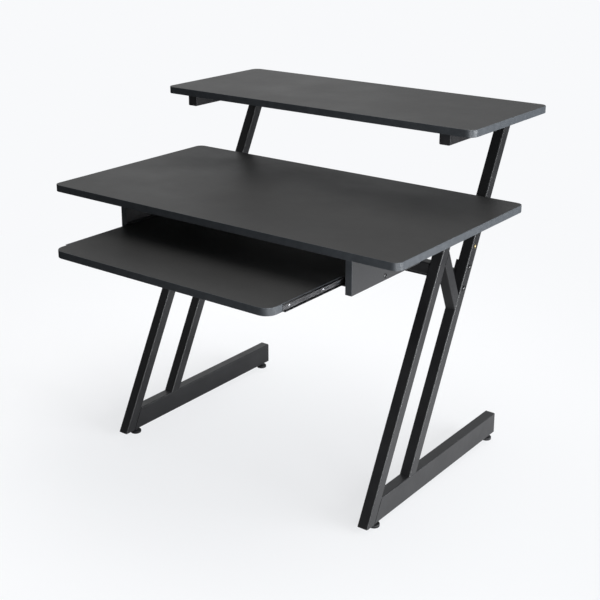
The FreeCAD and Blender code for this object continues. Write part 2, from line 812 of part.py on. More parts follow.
def brass_insert(way):
    outer = joined(rod(D.brass_flange, D.brass_flange_high),
                   rod(D.brass_body, D.brass_deep, -D.brass_deep))
    piece = without(outer, rod(D.brass_bore, D.brass_deep * 2, -D.brass_deep * 1.5))
    y, z = on_leg(insert_up)
    axis, angle = facing(way)
    place(piece, way * D.frame_half, y, z, axis, angle)
    return piece


group("brass_inserts", [brass_insert(way) for way in side_ways])


def screw_from_below(x, y, z, through):
    piece = screw(D.wood_screw_head, D.wood_screw_head_high, D.wood_screw,
                  through + D.wood_screw_bite)
    place(piece, x, y, z, X_AXIS, as_size(180))
    return piece


group("desktop_screws", [screw_from_below(way * tube_x, y, rail_under, D.tube_side)
                         for way in side_ways for y in rail_screw_ys])
group("shelf_screws", [screw_from_below(way * tube_x, y, shelf_under - D.tube_side, D.tube_side)
                       for way in side_ways for y in arm_screw_ys])


def panel_bolt(way, y):
    piece = screw(D.panel_bolt_head, D.panel_bolt_head_high, D.panel_bolt, D.panel_thick)
    axis, angle = facing(way)
    place(piece, way * D.panel_outer, y, panel_under + D.panel_bolt_low, axis, angle)
    return piece


group("panel_bolts", [panel_bolt(way, y) for way in side_ways for y in panel_bolt_ys])


def dowel(way, y):
    piece = rod(D.dowel, D.dowel_up + D.dowel_down)
    place(piece, way * panel_middle, y, desk_under - D.dowel_down)
    return piece


group("panel_dowels", [dowel(way, y) for way in side_ways for y in dowel_ys])

# ---------------------------------------------------------------- levelling feet

foot_ys = {"front": D.foot_inset - (D.toe_front - level_half * 2),
           "rear": D.base_rear - D.foot_inset}


def foot(end, side, way):
    """A pad and the threaded stem that screws into the base tube."""
    x, y = way * tube_x, foot_ys[end]
    name = "%s_%s" % (end, side)
    body = new_body("foot_pad_" + name)
    sketch = sketch_on(body, "XY_Plane")
    hole(sketch, ZERO, ZERO, D.pad_diameter)
    pad(body, sketch, D.pad_high)
    top = D.pad_high.number
    bevel_edges(body, lambda e: abs(middle_of(e).z - top) < 0.01, D.pad_bevel)
    place(body, x, y, ZERO)

    body = new_body("foot_stem_" + name)
    sketch = sketch_on(body, "XY_Plane")
    hole(sketch, ZERO, ZERO, D.stem_diameter)
    pad(body, sketch, D.stem_top - D.pad_high)
    place(body, x, y, D.pad_high)


def foot_nut(end, way):
    """Threaded insert pressed into the underside of a base tube."""
    outer = joined(rod(D.nut_flange, D.nut_flange_high, -D.nut_flange_high),
                   rod(D.nut_body, D.nut_deep))
    piece = without(outer, rod(D.nut_bore, D.nut_deep * 3, -D.nut_deep))
    place(piece, way * tube_x, foot_ys[end], D.base_bottom)
    return piece


for end in foot_ys:
    for side, way in SIDES:
        foot(end, side, way)
group("foot_nuts", [foot_nut(end, way) for end in foot_ys for way in side_ways])

# ---------------------------------------------------------------- tray slides

# heights from the slide's middle, working outward from the drawer member
sheet_t = D.slide_sheet
drawer_half = D.runner_half
cabinet_half = drawer_half + D.race_gap + sheet_t
race = drawer_half + D.race_gap / 2
# distances from the side panel's inner face towards the tray
cabinet_reach = D.slide_space - D.cabinet_short
runner_front = D.slide_front - D.runner_set_back + D.slide_out
tray_screw_ys = [as_size(y) for y in (-412, -285, -165)]


def channel(web, reach, half, thick):
    """Outline of a channel: its web at one depth, its flanges reaching to another."""
    inner = web + thick if reach.number > web.number else web - thick
    return [(web, -half), (reach, -half), (reach, thick - half), (inner, thick - half),
            (inner, half - thick), (reach, half - thick), (reach, half), (web, half)]


def profile(name, way, corners, length, rear):
    """A long member of a slide with the given cross section, ending at rear."""
    body = new_body(name)
    sketch = sketch_on(body, "XY_Plane")
    # depth runs from the side panel towards the tray, which is inward on either side
    outline(sketch, [(-way * depth, height) for depth, height in corners])
    pad(body, sketch, length)
    # the member's own Z axis points to the front
    place(body, way * panel_inner, rear, D.tray_middle, X_AXIS, as_size(90))
    return body


def web_holes(body, ys, rear, diameter):
    sketch = sketch_on(body, "YZ_Plane")
    for y in ys:
        hole(sketch, ZERO, rear - y, diameter)
    cut_through(body, sketch)


def ball_cage(side, way):
    """A ball retainer with its two rows of balls."""
    rear = D.cage_length / 2 - D.cage_middle
    half = race + D.cage_sheet / 2
    cage = profile("cage", way, channel(D.cage_web, D.cage_edge, half, D.cage_sheet),
                   D.cage_length, rear)
    alongs = [D.cage_length / 2 + D.ball_pitch * (k - 3.5) for k in range(8)]
    sketch = sketch_on(cage, "XZ_Plane")
    for along in alongs:
        hole(sketch, -way * D.ball_depth, along, D.ball_diameter + D.hole_gap * 2)
    cut_through(cage, sketch)
    pieces = [cage]
    for along in alongs:
        for up in (race, -race):
            ball = doc.addObject("Part::Sphere", "ball")
            bind(ball, "Radius", D.ball_diameter / 2)
            place(ball, way * (panel_inner - D.ball_depth), rear - along, D.tray_middle + up)
            pieces.append(ball)
    group("slide_ball_cage_" + side, pieces)


def slide(side, way):
    cabinet_rear = D.slide_length - D.slide_front
    member = profile("slide_cabinet_member_" + side, way,
                     channel(ZERO, cabinet_reach, cabinet_half, sheet_t),
                     D.slide_length, cabinet_rear)
    web_holes(member, slide_screw_ys, cabinet_rear, D.small_screw_head)

    rear = D.runner_length - runner_front
    member = profile("slide_drawer_member_" + side, way,
                     channel(D.slide_space, D.drawer_flange, drawer_half, sheet_t),
                     D.runner_length, rear)
    web_holes(member, tray_screw_ys, rear, D.small_screw)
    web_holes(member, [-D.stop_hole_ahead], rear, D.small_screw + 1)

    ball_cage(side, way)


def bumper(way):
    """Rubber stop at the back of the cabinet member."""
    rear = D.slide_length - D.slide_front - D.bumper_inset
    half = drawer_half + D.bumper_inset
    corners = [(sheet_t, -half), (cabinet_reach, -half), (cabinet_reach, half), (sheet_t, half)]
    return profile("bumper", way, corners, D.bumper_long, rear)


def slide_screw(way, y):
    """Flat-headed screw, its head flush in the cabinet member's web."""
    piece = joined(rod(D.small_screw_head, sheet_t), rod(D.small_screw, D.small_screw_bite,
                                                         -D.small_screw_bite))
    axis, angle = facing(-way)
    place(piece, way * panel_inner, y, D.tray_middle, axis, angle)
    return piece


def tray_screw(way, y):
    """Screw through the drawer member's web into the tray's edge."""
    piece = screw(D.small_screw_head, D.tray_screw_head_high, D.small_screw,
                  D.small_screw_bite, False)
    axis, angle = facing(way)
    place(piece, way * (D.tray_width / 2 + sheet_t), y, D.tray_middle, axis, angle)
    return piece


for side, way in SIDES:
    slide(side, way)
group("slide_bumpers", [bumper(way) for way in side_ways])
group("slide_panel_screws", [slide_screw(way, y) for way in side_ways for y in slide_screw_ys])
group("slide_tray_screws", [tray_screw(way, y) for way in side_ways for y in tray_screw_ys])

# pilot holes for those screws in both ends of the tray, through band and board
bite = D.small_screw_bite - sheet_t
for way in side_ways:
    for body, depth in ((tray, bite - D.band_thick), (tray_band, D.band_thick)):
        edge = D.tray_width / 2 - (D.band_thick if body is tray else ZERO)
        drill = sketch_on(body, "YZ_Plane", way * edge)
        for y in tray_screw_ys:
            hole(drill, y - tray_y, D.board_thick / 2, D.small_screw)
        cut_one_way(body, drill, way < 0, depth)

# ---------------------------------------------------------------- check and write

doc.recompute()
os.makedirs("parts", exist_ok=True)
for thing in doc.Objects:
    bad = [word for word in thing.State if word in ("Invalid", "Error")]
    if bad:
        raise RuntimeError("%s: %s" % (thing.Label, ", ".join(bad)))
for thing in made:
    shape = thing.Shape
    if shape.isNull() or not shape.isValid() or not shape.Solids:
        raise RuntimeError("%s has no valid solid" % thing.Label)
for thing in made:
    thing.Shape.exportStep("parts/%s.step" % thing.Label)
print("%d parts written" % len(made))
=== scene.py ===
import json
import math

import bmesh
import bpy
from mathutils import Matrix, Vector

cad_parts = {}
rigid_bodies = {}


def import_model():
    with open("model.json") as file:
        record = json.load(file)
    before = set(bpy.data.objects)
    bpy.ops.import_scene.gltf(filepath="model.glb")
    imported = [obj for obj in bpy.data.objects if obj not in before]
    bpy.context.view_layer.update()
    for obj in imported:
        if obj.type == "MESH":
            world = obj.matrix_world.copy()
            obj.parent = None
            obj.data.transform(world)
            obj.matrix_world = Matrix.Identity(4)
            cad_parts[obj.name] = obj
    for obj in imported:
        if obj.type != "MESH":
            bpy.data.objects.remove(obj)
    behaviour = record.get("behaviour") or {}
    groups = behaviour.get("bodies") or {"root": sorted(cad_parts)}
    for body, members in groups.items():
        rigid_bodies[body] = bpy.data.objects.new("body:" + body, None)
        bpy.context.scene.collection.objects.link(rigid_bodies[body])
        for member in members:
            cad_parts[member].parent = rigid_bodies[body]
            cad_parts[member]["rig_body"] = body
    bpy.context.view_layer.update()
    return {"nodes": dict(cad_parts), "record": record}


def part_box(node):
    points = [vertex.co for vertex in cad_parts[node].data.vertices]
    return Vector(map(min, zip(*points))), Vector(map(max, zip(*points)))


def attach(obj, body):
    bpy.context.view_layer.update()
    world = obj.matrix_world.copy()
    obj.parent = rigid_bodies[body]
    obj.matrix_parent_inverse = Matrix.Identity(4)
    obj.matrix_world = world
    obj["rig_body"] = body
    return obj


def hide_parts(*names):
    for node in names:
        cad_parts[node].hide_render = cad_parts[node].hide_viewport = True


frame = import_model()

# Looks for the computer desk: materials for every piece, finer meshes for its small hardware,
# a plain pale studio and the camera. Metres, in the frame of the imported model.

NODES = frame["nodes"]
SIDES = (("left", -1), ("right", 1))
ENDS = ("front", "rear")
MM = 0.001

# ---------------------------------------------------------------- materials


class Nodes:
    """Short names for building one material's node tree."""

    def __init__(self, name):
        self.material = bpy.data.materials.new(name)
        self.material.use_nodes = True
        self.tree = self.material.node_tree
        self.shader = self.tree.nodes["Principled BSDF"]
        self.place = self.add("ShaderNodeTexCoord").outputs["Object"]

    def add(self, kind, **settings):
        node = self.tree.nodes.new(kind)
        for key, value in settings.items():
            setattr(node, key, value)
        return node

    def link(self, source, target):
        self.tree.links.new(source, target)

    def stretched(self, x, y, z):
        """The object's coordinates, stretched by x, y and z."""
        mapping = self.add("ShaderNodeMapping")
        mapping.inputs["Scale"].default_value = (x, y, z)
        self.link(self.place, mapping.inputs["Vector"])
        return mapping.outputs["Vector"]

    def noise(self, scale, detail=3.0, vector=None):
        node = self.add("ShaderNodeTexNoise")
        node.inputs["Scale"].default_value = scale
        node.inputs["Detail"].default_value = detail
        node.inputs["Roughness"].default_value = 0.55
        self.link(vector or self.place, node.inputs["Vector"])
        return node.outputs["Fac"]

    def cells(self, scale):
        node = self.add("ShaderNodeTexVoronoi")
        node.inputs["Scale"].default_value = scale
        self.link(self.place, node.inputs["Vector"])
        return node.outputs["Distance"]

    def spread(self, source, low, high, start=0.3, end=0.7):
        """Maps a texture from start..end to low..high."""
        node = self.add("ShaderNodeMapRange")
        for key, value in (("From Min", start), ("From Max", end),
                           ("To Min", low), ("To Max", high)):
            node.inputs[key].default_value = value
        self.link(source, node.inputs["Value"])
        return node.outputs["Result"]

    def combined(self, kind, a, b):
        """Two values, each a number or a socket, taken together."""
        node = self.add("ShaderNodeMath", operation=kind)
        for k, value in enumerate((a, b)):
            if isinstance(value, (int, float)):
                node.inputs[k].default_value = value
            else:
                self.link(value, node.inputs[k])
        return node.outputs["Value"]

    def sum(self, a, b):
        return self.combined("ADD", a, b)

    def product(self, a, b):
        return self.combined("MULTIPLY", a, b)

    def difference(self, a, b):
        return self.combined("SUBTRACT", a, b)

    def blend(self, factor, a, b):
        """Mixes two colours, each a tuple or a socket."""
        node = self.add("ShaderNodeMix", data_type="RGBA")
        self.link(factor, node.inputs["Factor"])
        for key, value in (("A", a), ("B", b)):
            socket = [s for s in node.inputs if s.name == key and s.type == "RGBA"][0]
            if isinstance(value, tuple):
                socket.default_value = (*value, 1.0)
            else:
                self.link(value, socket)
        return [s for s in node.outputs if s.type == "RGBA"][0]

    def edge(self, radius):
        """1 along edges, 0 on flat faces; the colour it lightens there is partly wear and
        partly a painted highlight.
        """
        bevel = self.add("ShaderNodeBevel", samples=4)
        bevel.inputs["Radius"].default_value = radius
        flat = self.add("ShaderNodeNewGeometry").outputs["Normal"]
        dot = self.add("ShaderNodeVectorMath", operation="DOT_PRODUCT")
        self.link(bevel.outputs["Normal"], dot.inputs[0])
        self.link(flat, dot.inputs[1])
        return self.spread(dot.outputs["Value"], 1.0, 0.0, 0.80, 0.99)

    def bump(self, layers):
        """Layers of (height socket, strength, depth in metres), one over the other."""
        normal = None
        for height, strength, depth in layers:
            node = self.add("ShaderNodeBump")
            node.inputs["Strength"].default_value = strength
            node.inputs["Distance"].default_value = depth
            self.link(height, node.inputs["Height"])
            if normal is not None:
                self.link(normal, node.inputs["Normal"])
            normal = node.outputs["Normal"]
        self.link(normal, self.shader.inputs["Normal"])

    def set(self, **values):
        """Gives the shader its values and returns the finished material."""
        names = {"metallic": "Metallic", "level": "Specular IOR Level", "rough": "Roughness",
                 "color": "Base Color"}
        for key, value in values.items():
            socket = self.shader.inputs[names[key]]
            if isinstance(value, tuple):
                socket.default_value = (*value, 1.0)
            elif isinstance(value, (int, float)):
                socket.default_value = value
            else:
                self.link(value, socket)
        return self.material


def laminate(name, dark, light, rough):
    """Printed board: fine pores over a faint long grain, with soft handling marks."""
    n = Nodes(name)
    grain = n.noise(26.0, 5.0, n.stretched(1.0, 9.0, 9.0))
    cloud = n.noise(2.3, 2.0)
    pores = n.cells(1500.0)
    tone = n.sum(n.sum(n.spread(grain, 0.0, 0.45), n.spread(cloud, 0.0, 0.35)),
                 n.spread(pores, 0.0, 0.2, 0.1, 0.6))
    smudge = n.noise(7.0, 4.0)
    shine = n.sum(n.spread(smudge, rough - 0.035, rough + 0.035),
                  n.spread(grain, -0.02, 0.02))
    n.bump([(pores, 0.35, 0.00008), (grain, 0.12, 0.0001)])
    return n.set(color=n.blend(tone, dark, light), rough=shine, level=LAMINATE_LEVEL)


def plastic(name, dark, light, rough):
    """Moulded or extruded plastic: faint mottling, fine texture, edges rubbed smoother and
    painted lighter, partly as wear and partly as a painted highlight.
    """
    n = Nodes(name)
    mottle = n.noise(60.0, 3.0)
    fine = n.noise(1800.0, 2.0)
    edge = n.edge(0.0012)
    # edges painted lighter: partly wear, partly painted highlight
    tone = n.sum(n.spread(mottle, 0.0, 0.6), n.product(edge, 0.5))
    shine = n.sum(n.spread(n.noise(22.0), rough - 0.04, rough + 0.04),
                  n.product(edge, -0.08))
    n.bump([(fine, 0.25, 0.00006)])
    return n.set(color=n.blend(tone, dark, light), rough=shine, level=PLASTIC_LEVEL)


def powder_coat(name, dark, light, rough):
    """Baked powder paint: orange peel, a fine sparkle of grit, edges rubbed smoother and
    painted lighter, partly as wear and partly as a painted highlight.
    """
    n = Nodes(name)
    peel = n.noise(420.0, 2.0)
    grit = n.cells(1900.0)
    edge = n.edge(0.0016)
    cloud = n.noise(9.0, 3.0)
    # edges painted lighter: partly wear, partly painted highlight
    tone = n.sum(n.sum(n.spread(cloud, 0.0, 0.4), n.spread(grit, 0.25, 0.0, 0.05, 0.6)),
                 n.product(edge, 0.55))
    shine = n.sum(n.spread(n.noise(35.0, 4.0), rough - 0.05, rough + 0.05),
                  n.product(edge, -0.1))
    n.bump([(peel, 0.16, 0.00016), (grit, 0.18, 0.00005)])
    return n.set(color=n.blend(tone, dark, light), rough=shine, level=COAT_LEVEL)


def metal(name, dark, light, rough):
    """Bare or plated metal with drawing lines along Y and a few dull patches; edges painted
    lighter, partly as wear and partly as a painted highlight.
    """
    n = Nodes(name)
    lines = n.noise(40.0, 4.0, n.stretched(60.0, 4.0, 60.0))
    patch = n.noise(30.0, 3.0)
    edge = n.edge(0.0006)
    # edges painted lighter: partly wear, partly painted highlight
    tone = n.sum(n.sum(n.spread(lines, 0.0, 0.4), n.spread(patch, 0.0, 0.4)),
                 n.product(edge, 0.4))
    shine = n.sum(n.spread(patch, rough - 0.06, rough + 0.08), n.spread(lines, -0.04, 0.04))
    n.bump([(lines, 0.1, 0.00004)])
    return n.set(color=n.blend(tone, dark, light), rough=shine, metallic=1.0)


def beech(name):
    """Bare dowel wood with grain along Z."""
    n = Nodes(name)
    grain = n.noise(900.0, 4.0, n.stretched(1.0, 1.0, 0.06))
    n.bump([(grain, 0.3, 0.0001)])
    return n.set(color=n.blend(n.spread(grain, 0.0, 1.0), (0.36, 0.21, 0.10),
                               (0.60, 0.41, 0.23)), rough=n.spread(grain, 0.6, 0.75))


LAMINATE_LEVEL = 0.25
PLASTIC_LEVEL = 0.4
COAT_LEVEL = 0.5

# each slot's darkest and lightest colour and its roughness
MATERIALS = {
    "laminate": laminate("laminate", (0.0185, 0.0185, 0.0185), (0.035, 0.035, 0.035), 0.47),
    "panel_laminate": laminate("panel_laminate", (0.020, 0.020, 0.021),
                               (0.036, 0.036, 0.037), 0.5),
    "edge_band": plastic("edge_band", (0.037, 0.041, 0.046), (0.057, 0.062, 0.068), 0.42),
    "black_steel": powder_coat("black_steel", (0.009, 0.009, 0.0098),
                               (0.024, 0.024, 0.025), 0.36),
    "spigot_steel": metal("spigot_steel", (0.30, 0.30, 0.31), (0.5, 0.5, 0.51), 0.4),
    "cap_plastic": plastic("cap_plastic", (0.020, 0.020, 0.022), (0.038, 0.038, 0.040), 0.5),
    "black_screw": metal("black_screw", (0.065, 0.065, 0.067), (0.16, 0.16, 0.163), 0.27),
    "brass_thread": metal("brass_thread", (0.84, 0.66, 0.30), (0.98, 0.86, 0.52), 0.34),
    "dowel_wood": beech("dowel_wood"),
    "foot_plastic": plastic("foot_plastic", (0.009, 0.009, 0.010), (0.020, 0.020, 0.021), 0.5),
    "foot_thread": metal("foot_thread", (0.05, 0.05, 0.054), (0.12, 0.12, 0.125), 0.40),
    "foot_insert": plastic("foot_insert", (0.012, 0.012, 0.013), (0.024, 0.024, 0.025), 0.5),
    "slide_steel": metal("slide_steel", (0.075, 0.075, 0.079), (0.15, 0.15, 0.155), 0.42),
    "ball_steel": metal("ball_steel", (0.92, 0.92, 0.93), (0.98, 0.98, 0.99), 0.14),
    "stop_rubber": plastic("stop_rubber", (0.010, 0.010, 0.010), (0.019, 0.019, 0.019), 0.7),
    "slide_screw": metal("slide_screw", (0.42, 0.42, 0.44), (0.72, 0.72, 0.74), 0.25),
}

SLOT_OF = {part["node"]: part["material_slot"] for part in frame["record"]["subparts"]}

for node, slot in SLOT_OF.items():
    NODES[node].data.materials.clear()
    NODES[node].data.materials.append(MATERIALS[slot])

# ---------------------------------------------------------------- finer meshes

# turned shapes are lists of rings, each (height, distance from the axis at an angle), in mm


def circle(radius):
    return lambda angle: radius


def hexagon(corner):
    """A hexagon whose corners lie this far from the middle."""
    def at(angle):
        off = angle % (math.pi / 3) - math.pi / 6
        return corner * math.cos(math.pi / 6) / math.cos(off)
    return at


def cross(half_width, reach):
    """The outline of a cross recess."""
    def at(angle):
        off = (angle + math.pi / 4) % (math.pi / 2) - math.pi / 4
        return min(reach, half_width / max(abs(math.sin(off)), 1e-6))
    return at


def helix(root, depth, pitch, z):
    """The outline of a screw thread cut level at height z."""
    def at(angle):
        phase = (z / pitch - angle / (2 * math.pi)) % 1.0
        return root + depth * (1 - abs(2 * phase - 1))
    return at


def thread(root, depth, pitch, start, end):
    """Rings of a thread from one height to another."""
    steps = max(2, round(abs(end - start) / pitch * 6))
    heights = [start + (end - start) * k / steps for k in range(steps + 1)]
    return [(z, helix(root, depth, pitch, z)) for z in heights]


def dome(radius, high, flat, low=0.0, steps=6):
    """Rings of a rounded head, from its rim up to a flat of the given radius."""
    rings = [(low, circle(radius))]
    for k in range(steps + 1):
        turn = k / steps * math.pi / 2
        rings.append((low + high * (0.18 + 0.82 * math.sin(turn)),
                      circle(flat + (radius - flat) * math.cos(turn))))
    return rings


def turned(rings, loop=False, around=72):
    """Vertices and faces of a shape turned about Z; a loop is a ring with a bore."""
    verts, faces = [], []
    angles = [2 * math.pi * k / around for k in range(around)]
    for z, at in rings:
        verts += [Vector((at(a) * math.cos(a), at(a) * math.sin(a), z)) for a in angles]
    count = len(rings)
    for ring in range(count if loop else count - 1):
        low, high = ring * around, (ring + 1) % count * around
        for k in range(around):
            j = (k + 1) % around
            faces.append((low + k, low + j, high + j, high + k))
    if not loop:
        faces.append(tuple(reversed(range(around))))
        faces.append(tuple(range((count - 1) * around, count * around)))
    return verts, faces


def moved(shape, place, turn=None):
    """A shape in mm, turned and put at a place in metres."""
    matrix = Matrix.Translation(place) @ (turn or Matrix.Identity(4)) @ Matrix.Scale(MM, 4)
    return [matrix @ v for v in shape[0]], shape[1]


def make_mesh(name, shapes):
    mesh = bpy.data.meshes.new(name)
    verts, faces = [], []
    for points, polygons in shapes:
        first = len(verts)
        verts += points
        faces += [tuple(first + k for k in polygon) for polygon in polygons]
    mesh.from_pydata(verts, [], faces)
    smooth_sides(mesh)
    piece = bpy.data.objects.new(name, mesh)
    bpy.context.scene.collection.objects.link(piece)
    return piece


def smooth_sides(mesh):
    """Round sides look smooth and corners stay sharp."""
    mesh.shade_smooth()
    mesh.set_sharp_from_angle(angle=math.radians(35.0))


def wear(piece, slot, body, node=None):
    """Gives a piece its material and its body, and hides the CAD node it stands for."""
    piece.data.materials.clear()
    piece.data.materials.append(MATERIALS[slot])
    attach(piece, body)
    if node is not None:
        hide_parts(node)


def body_of(node):
    return NODES[node]["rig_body"]


def islands(node):
    """Lowest and highest corner of each separate solid of a CAD node."""
    work = bmesh.new()
    work.from_mesh(NODES[node].data)
    bmesh.ops.remove_doubles(work, verts=work.verts, dist=1e-6)
    left = set(work.verts)
    found = []
    while left:
        front = [left.pop()]
        group = list(front)
        while front:
            vert = front.pop()
            for edge in vert.link_edges:
                other = edge.other_vert(vert)
                if other in left:
                    left.remove(other)
                    front.append(other)
                    group.append(other)
        found.append(tuple(Vector([pick(v.co[k] for v in group) for k in range(3)])
                           for pick in (min, max)))
    work.free()
    return found


def middle(box):
    return (box[0] + box[1]) / 2


def refit(node, shapes):
    """One finer piece in place of a CAD node."""
    wear(make_mesh(node + "_fine", shapes), SLOT_OF[node], body_of(node), node)


def outward(way):
    """Turns +Z to the left or right."""
    return Matrix.Rotation(math.radians(90.0 * way), 4, "Y")


DOWN = Matrix.Rotation(math.pi, 4, "X")
TIP = 0.3


def socket_bolt(head, high, shank, length, hex_corner, deep):
    """A low round head with a hexagon socket; the head's underside is at height 0."""
    flat = hex_corner + 0.9
    rings = [(-length, circle(shank - 0.8)), (-length + 0.8, circle(shank)),
             (-0.02, circle(shank)), (0, circle(head - 0.3))]
    rings += dome(head, high - 0.25, flat, 0.25)
    floor = high - deep
    rings += [(high, circle(hex_corner + 0.25)), (high - 0.25, hexagon(hex_corner)),
              (floor, hexagon(hex_corner)), (floor, circle(hex_corner * 0.8)),
              (floor - 0.4, circle(0.15))]
    return turned(rings)


def cross_screw(head, high, shank, length, half_width, reach, deep):
    """A rounded head with a cross recess; the head's underside is at height 0."""
    rings = [(-length, circle(TIP)), (-length + shank * 1.6, circle(shank)),
             (0, circle(shank)), (0, circle(head - 0.15))]
    rings += dome(head, high - 0.1, reach + 0.3, 0.1)
    rings += [(high, cross(half_width, reach)),
              (high - deep, cross(half_width * 0.6, reach * 0.55))]
    return turned(rings)


def side_of(box):
    return 1 if box[0].x > 0 else -1


def bolts_sideways(node, shape, head_high):
    """Places a bolt at each of a node's solids, heads towards the outside."""
    shapes = []
    for box in islands(node):
        way = side_of(box)
        outer = box[1].x if way > 0 else box[0].x
        under = Vector((outer - way * head_high * MM, middle(box).y, middle(box).z))
        shapes.append(moved(shape, under, outward(way)))
    refit(node, shapes)


bolts_sideways("riser_bolts", socket_bolt(head=7.0, high=4.0, shank=3.98, length=34.9,
                                          hex_corner=2.5, deep=2.5), head_high=4.0)
bolts_sideways("panel_bolts", socket_bolt(head=6.0, high=2.0, shank=3.48, length=17.9,
                                          hex_corner=2.5, deep=2.0), head_high=2.0)
bolts_sideways("slide_tray_screws", cross_screw(head=3.5, high=1.2, shank=1.75, length=13.8,
                                                half_width=0.45, reach=2.0, deep=1.1),
               head_high=1.2)

LONG_HEAD = 3.0
long_screw = cross_screw(head=5.0, high=LONG_HEAD, shank=2.5, length=42.8, half_width=0.7,
                         reach=2.6, deep=2.0)

for screws in ("desktop_screws", "shelf_screws"):
    refit(screws, [moved(long_screw, Vector((middle(box).x, middle(box).y,
                                             box[0].z + LONG_HEAD * MM)), DOWN)
                   for box in islands(screws)])


def flush_screw(box):
    """A flat head 1 mm high that lies in the slide's web, facing the tray."""
    way = -side_of(box)
    rings = [(-13.8, circle(TIP)), (-11.5, circle(1.75)), (0, circle(1.75)), (0, circle(3.3)),
             (0.2, circle(3.48)), (0.85, circle(3.48)), (1.0, circle(3.3)),
             (1.0, cross(0.45, 2.0)), (0.1, cross(0.3, 1.1))]
    inner = box[0].x if way < 0 else box[1].x
    under = Vector((inner - way * 1.0 * MM, middle(box).y, middle(box).z))
    return moved(turned(rings), under, outward(way))


refit("slide_panel_screws", [flush_screw(box) for box in islands("slide_panel_screws")])


def brass_ring(box):
    """A flanged threaded insert, its bore tapped."""
    way = side_of(box)
    rings = [(-10, circle(3.2)), (-10, circle(3.75)), (-9.7, circle(4.0)), (0, circle(4.0)),
             (0, circle(4.95)), (0.55, circle(5.0)), (0.8, circle(4.75)), (0.8, circle(3.6)),
             (0.3, circle(3.0))]
    rings += thread(3.0, -0.35, 1.0, 0.0, -9.6)
    outer = box[1].x if way > 0 else box[0].x
    face = Vector((outer - way * 0.8 * MM, middle(box).y, middle(box).z))
    return moved(turned(rings, loop=True), face, outward(way))


refit("brass_inserts", [brass_ring(box) for box in islands("brass_inserts")])

for end in ENDS:
    for side, way in SIDES:
        pad = "foot_pad_%s_%s" % (end, side)
        low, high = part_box(pad)
        foot = Vector((middle((low, high)).x, middle((low, high)).y, 0.0))
        rings = [(0, circle(13.9)), (0.35, circle(14.6)), (1.0, circle(15.0)),
                 (5.9, circle(15.0)), (6.9, circle(14.72)), (7.6, circle(14.0)),
                 (8.0, circle(13.0)), (7.95, circle(12.2)), (7.35, circle(11.6)),
                 (7.35, circle(7.0)), (7.95, circle(6.5)), (8.0, circle(4.0))]
        refit(pad, [moved(turned(rings, around=96), foot)])
        stem = "foot_stem_%s_%s" % (end, side)
        low, high = (corner.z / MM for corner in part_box(stem))
        rings = [(low, circle(3.9))] + thread(3.5, 0.48, 1.25, low + 0.6, high - 0.9)
        rings += [(high - 0.8, circle(3.4)), (high, circle(3.0))]
        refit(stem, [moved(turned(rings, around=48), foot)])


def foot_insert(box):
    rings = [(-1.0, circle(4.5)), (-1.0, circle(7.1)), (-0.65, circle(7.5)), (0, circle(7.5)),
             (0, circle(5.5)), (13.0, circle(5.5)), (13.0, circle(4.06)), (-0.6, circle(4.06))]
    face = Vector((middle(box).x, middle(box).y, box[0].z + 1.0 * MM))
    return moved(turned(rings, loop=True), face)


refit("foot_nuts", [foot_insert(box) for box in islands("foot_nuts")])

# ---------------------------------------------------------------- tray slides


def bent_sheet(line, thick, bend, steps=5):
    """Outline of a thin sheet that follows an open line, its corners bent round."""
    path = [Vector(line[0])]
    for before, corner, after in zip(line, line[1:], line[2:]):
        before, corner, after = Vector(before), Vector(corner), Vector(after)
        a, b = (before - corner).normalized(), (after - corner).normalized()
        centre = corner + (a + b) * bend
        start, end = corner + a * bend - centre, corner + b * bend - centre
        for k in range(steps + 1):
            t = k / steps * math.pi / 2
            path.append(centre + start * math.cos(t) + end * math.sin(t))
    path.append(Vector(line[-1]))
    left, right = [], []
    for k, point in enumerate(path):
        ahead = path[min(k + 1, len(path) - 1)] - path[max(k - 1, 0)]
        across = Vector((-ahead.y, ahead.x)).normalized() * (thick / 2)
        left.append(point + across)
        right.append(point - across)
    return left + right[::-1]


def prism_faces(count):
    """Faces of a prism whose two ends, one after the other, have this many corners each."""
    faces = [(k, (k + 1) % count, count + (k + 1) % count, count + k) for k in range(count)]
    return faces + [tuple(reversed(range(count))), tuple(range(count, 2 * count))]


def extruded(outline, start, end):
    """An outline in x and z, drawn out along y."""
    verts = [Vector((p.x, y, p.y)) for y in (start, end) for p in outline]
    return verts, prism_faces(len(outline))


def slot_cutter(y, z, long, high, x_low, x_high, steps=12):
    """A prism along x with a round-ended outline, long by high."""
    radius = high / 2
    outline = []
    for way in (1, -1):
        for k in range(steps + 1):
            turn = -math.pi / 2 + math.pi * k / steps
            outline.append((y + way * ((long / 2 - radius) + radius * math.cos(turn)),
                            z + way * radius * math.sin(turn)))
    verts = [Vector((x, a, b)) for x in (x_low, x_high) for a, b in outline]
    return verts, prism_faces(len(outline))


def cut_out(piece, cutters):
    """Cuts the cutters' shapes out of a piece's mesh for good."""
    tool = make_mesh("cutter", cutters)
    for thing in (piece, tool):
        work = bmesh.new()
        work.from_mesh(thing.data)
        bmesh.ops.recalc_face_normals(work, faces=work.faces)
        work.to_mesh(thing.data)
        work.free()
    cut = piece.modifiers.new("cut", "BOOLEAN")
    cut.operation = "DIFFERENCE"
    cut.solver = "EXACT"
    cut.object = tool
    graph = bpy.context.evaluated_depsgraph_get()
    mesh = bpy.data.meshes.new_from_object(piece.evaluated_get(graph))
    piece.modifiers.clear()
    piece.data = mesh
    smooth_sides(mesh)
    bpy.data.objects.remove(tool)


